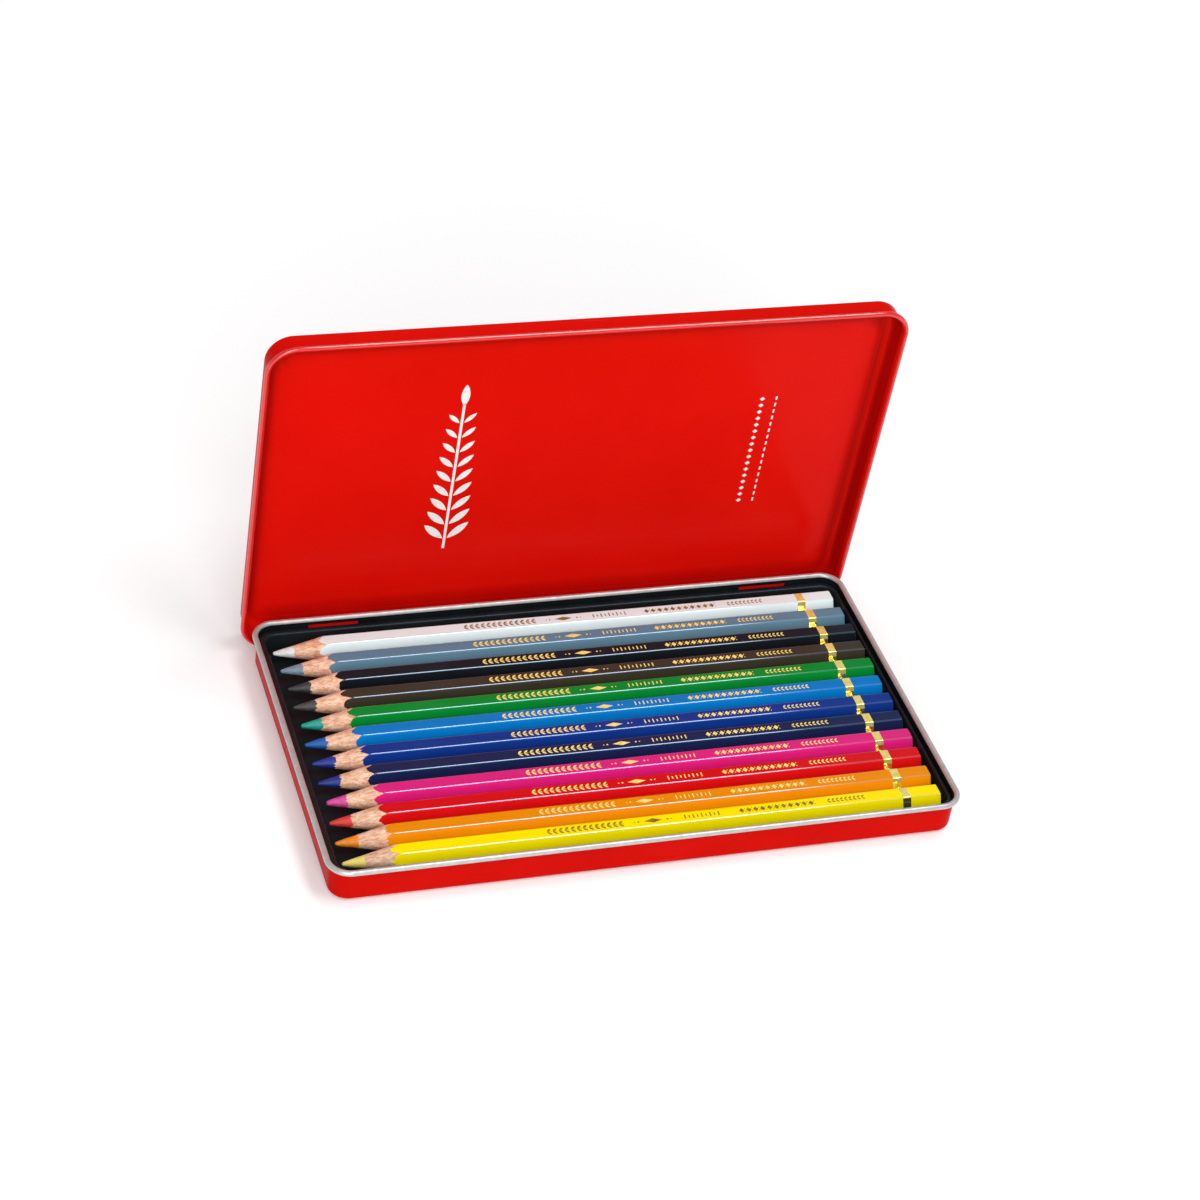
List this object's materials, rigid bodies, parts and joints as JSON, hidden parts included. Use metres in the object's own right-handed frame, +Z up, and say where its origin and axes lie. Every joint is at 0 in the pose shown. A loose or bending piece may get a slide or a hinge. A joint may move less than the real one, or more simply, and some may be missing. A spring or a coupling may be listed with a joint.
{
  "type": "colored pencil tin",
  "caption": "Flat hinged tin with rolled edges, standing open, with a black moulded insert holding a row of sharpened hexagonal coloured pencils.",
  "frame": {"origin": "centre of the tray's underside, on the table", "axes": "+X along the pencils, from their points towards their blunt ends; +Y towards the hinge; +Z up"},
  "size_m": [0.1906, 0.1183, 0.1136],
  "materials": {
    "red_enamel": "glossy baked red enamel on tinplate",
    "bare_tinplate": "bright bare tinplate",
    "insert_plastic": "black vacuum formed plastic, satin gloss",
    "pencil_wood": "bare sharpened cedar",
    "gold_foil": "hot stamped gold foil",
    "lacquer_white": "glossy white lacquer",
    "lead_white": "matt waxy colour core",
    "lacquer_slate": "glossy slate lacquer",
    "lead_slate": "matt waxy colour core",
    "lacquer_black": "glossy black lacquer",
    "lead_black": "matt waxy colour core",
    "lacquer_umber": "glossy umber lacquer",
    "lead_umber": "matt waxy colour core",
    "lacquer_green": "glossy green lacquer",
    "lead_green": "matt waxy colour core",
    "lacquer_azure": "glossy azure lacquer",
    "lead_azure": "matt waxy colour core",
    "lacquer_cobalt": "glossy cobalt lacquer",
    "lead_cobalt": "matt waxy colour core",
    "lacquer_navy": "glossy navy lacquer",
    "lead_navy": "matt waxy colour core",
    "lacquer_magenta": "glossy magenta lacquer",
    "lead_magenta": "matt waxy colour core",
    "lacquer_red": "glossy red lacquer",
    "lead_red": "matt waxy colour core",
    "lacquer_orange": "glossy orange lacquer",
    "lead_orange": "matt waxy colour core",
    "lacquer_yellow": "glossy yellow lacquer",
    "lead_yellow": "matt waxy colour core"
  },
  "bodies": {
    "tray": {"tray_pan": "red_enamel", "hinge_knuckle_left": "bare_tinplate", "hinge_knuckle_right": "bare_tinplate"},
    "lid": {"lid_pan": "red_enamel", "hinge_tab_left": "red_enamel", "hinge_tab_right": "red_enamel"},
    "insert": {"insert_tray": "insert_plastic"},
    "pencil_white": {"pencil_white_casing": "pencil_wood", "pencil_white_lead": "lead_white", "pencil_white_lacquer": "lacquer_white", "pencil_white_foil": "gold_foil"},
    "pencil_slate": {"pencil_slate_casing": "pencil_wood", "pencil_slate_lead": "lead_slate", "pencil_slate_lacquer": "lacquer_slate", "pencil_slate_foil": "gold_foil"},
    "pencil_black": {"pencil_black_casing": "pencil_wood", "pencil_black_lead": "lead_black", "pencil_black_lacquer": "lacquer_black", "pencil_black_foil": "gold_foil"},
    "pencil_umber": {"pencil_umber_casing": "pencil_wood", "pencil_umber_lead": "lead_umber", "pencil_umber_lacquer": "lacquer_umber", "pencil_umber_foil": "gold_foil"},
    "pencil_green": {"pencil_green_casing": "pencil_wood", "pencil_green_lead": "lead_green", "pencil_green_lacquer": "lacquer_green", "pencil_green_foil": "gold_foil"},
    "pencil_azure": {"pencil_azure_casing": "pencil_wood", "pencil_azure_lead": "lead_azure", "pencil_azure_lacquer": "lacquer_azure", "pencil_azure_foil": "gold_foil"},
    "pencil_cobalt": {"pencil_cobalt_casing": "pencil_wood", "pencil_cobalt_lead": "lead_cobalt", "pencil_cobalt_lacquer": "lacquer_cobalt", "pencil_cobalt_foil": "gold_foil"},
    "pencil_navy": {"pencil_navy_casing": "pencil_wood", "pencil_navy_lead": "lead_navy", "pencil_navy_lacquer": "lacquer_navy", "pencil_navy_foil": "gold_foil"},
    "pencil_magenta": {"pencil_magenta_casing": "pencil_wood", "pencil_magenta_lead": "lead_magenta", "pencil_magenta_lacquer": "lacquer_magenta", "pencil_magenta_foil": "gold_foil"},
    "pencil_red": {"pencil_red_casing": "pencil_wood", "pencil_red_lead": "lead_red", "pencil_red_lacquer": "lacquer_red", "pencil_red_foil": "gold_foil"},
    "pencil_orange": {"pencil_orange_casing": "pencil_wood", "pencil_orange_lead": "lead_orange", "pencil_orange_lacquer": "lacquer_orange", "pencil_orange_foil": "gold_foil"},
    "pencil_yellow": {"pencil_yellow_casing": "pencil_wood", "pencil_yellow_lead": "lead_yellow", "pencil_yellow_lacquer": "lacquer_yellow", "pencil_yellow_foil": "gold_foil"}
  },
  "joints": [
    {"name": "lid_hinge", "type": "hinge", "parent": "tray", "child": "lid", "pos_m": [0, 0.0542, 0.0029], "axis": [-1, 0, 0], "range_deg": [-85, 12]},
    {"name": "insert_lift", "type": "slide", "parent": "tray", "child": "insert", "axis": [0, 0, 1], "range_m": [0, 0.025]},
    {"name": "pencil_white_lift", "type": "slide", "parent": "insert", "child": "pencil_white", "axis": [0, 0, 1], "range_m": [0, 0.025]},
    {"name": "pencil_slate_lift", "type": "slide", "parent": "insert", "child": "pencil_slate", "axis": [0, 0, 1], "range_m": [0, 0.025]},
    {"name": "pencil_black_lift", "type": "slide", "parent": "insert", "child": "pencil_black", "axis": [0, 0, 1], "range_m": [0, 0.025]},
    {"name": "pencil_umber_lift", "type": "slide", "parent": "insert", "child": "pencil_umber", "axis": [0, 0, 1], "range_m": [0, 0.025]},
    {"name": "pencil_green_lift", "type": "slide", "parent": "insert", "child": "pencil_green", "axis": [0, 0, 1], "range_m": [0, 0.025]},
    {"name": "pencil_azure_lift", "type": "slide", "parent": "insert", "child": "pencil_azure", "axis": [0, 0, 1], "range_m": [0, 0.025]},
    {"name": "pencil_cobalt_lift", "type": "slide", "parent": "insert", "child": "pencil_cobalt", "axis": [0, 0, 1], "range_m": [0, 0.025]},
    {"name": "pencil_navy_lift", "type": "slide", "parent": "insert", "child": "pencil_navy", "axis": [0, 0, 1], "range_m": [0, 0.025]},
    {"name": "pencil_magenta_lift", "type": "slide", "parent": "insert", "child": "pencil_magenta", "axis": [0, 0, 1], "range_m": [0, 0.025]},
    {"name": "pencil_red_lift", "type": "slide", "parent": "insert", "child": "pencil_red", "axis": [0, 0, 1], "range_m": [0, 0.025]},
    {"name": "pencil_orange_lift", "type": "slide", "parent": "insert", "child": "pencil_orange", "axis": [0, 0, 1], "range_m": [0, 0.025]},
    {"name": "pencil_yellow_lift", "type": "slide", "parent": "insert", "child": "pencil_yellow", "axis": [0, 0, 1], "range_m": [0, 0.025]}
  ]
}
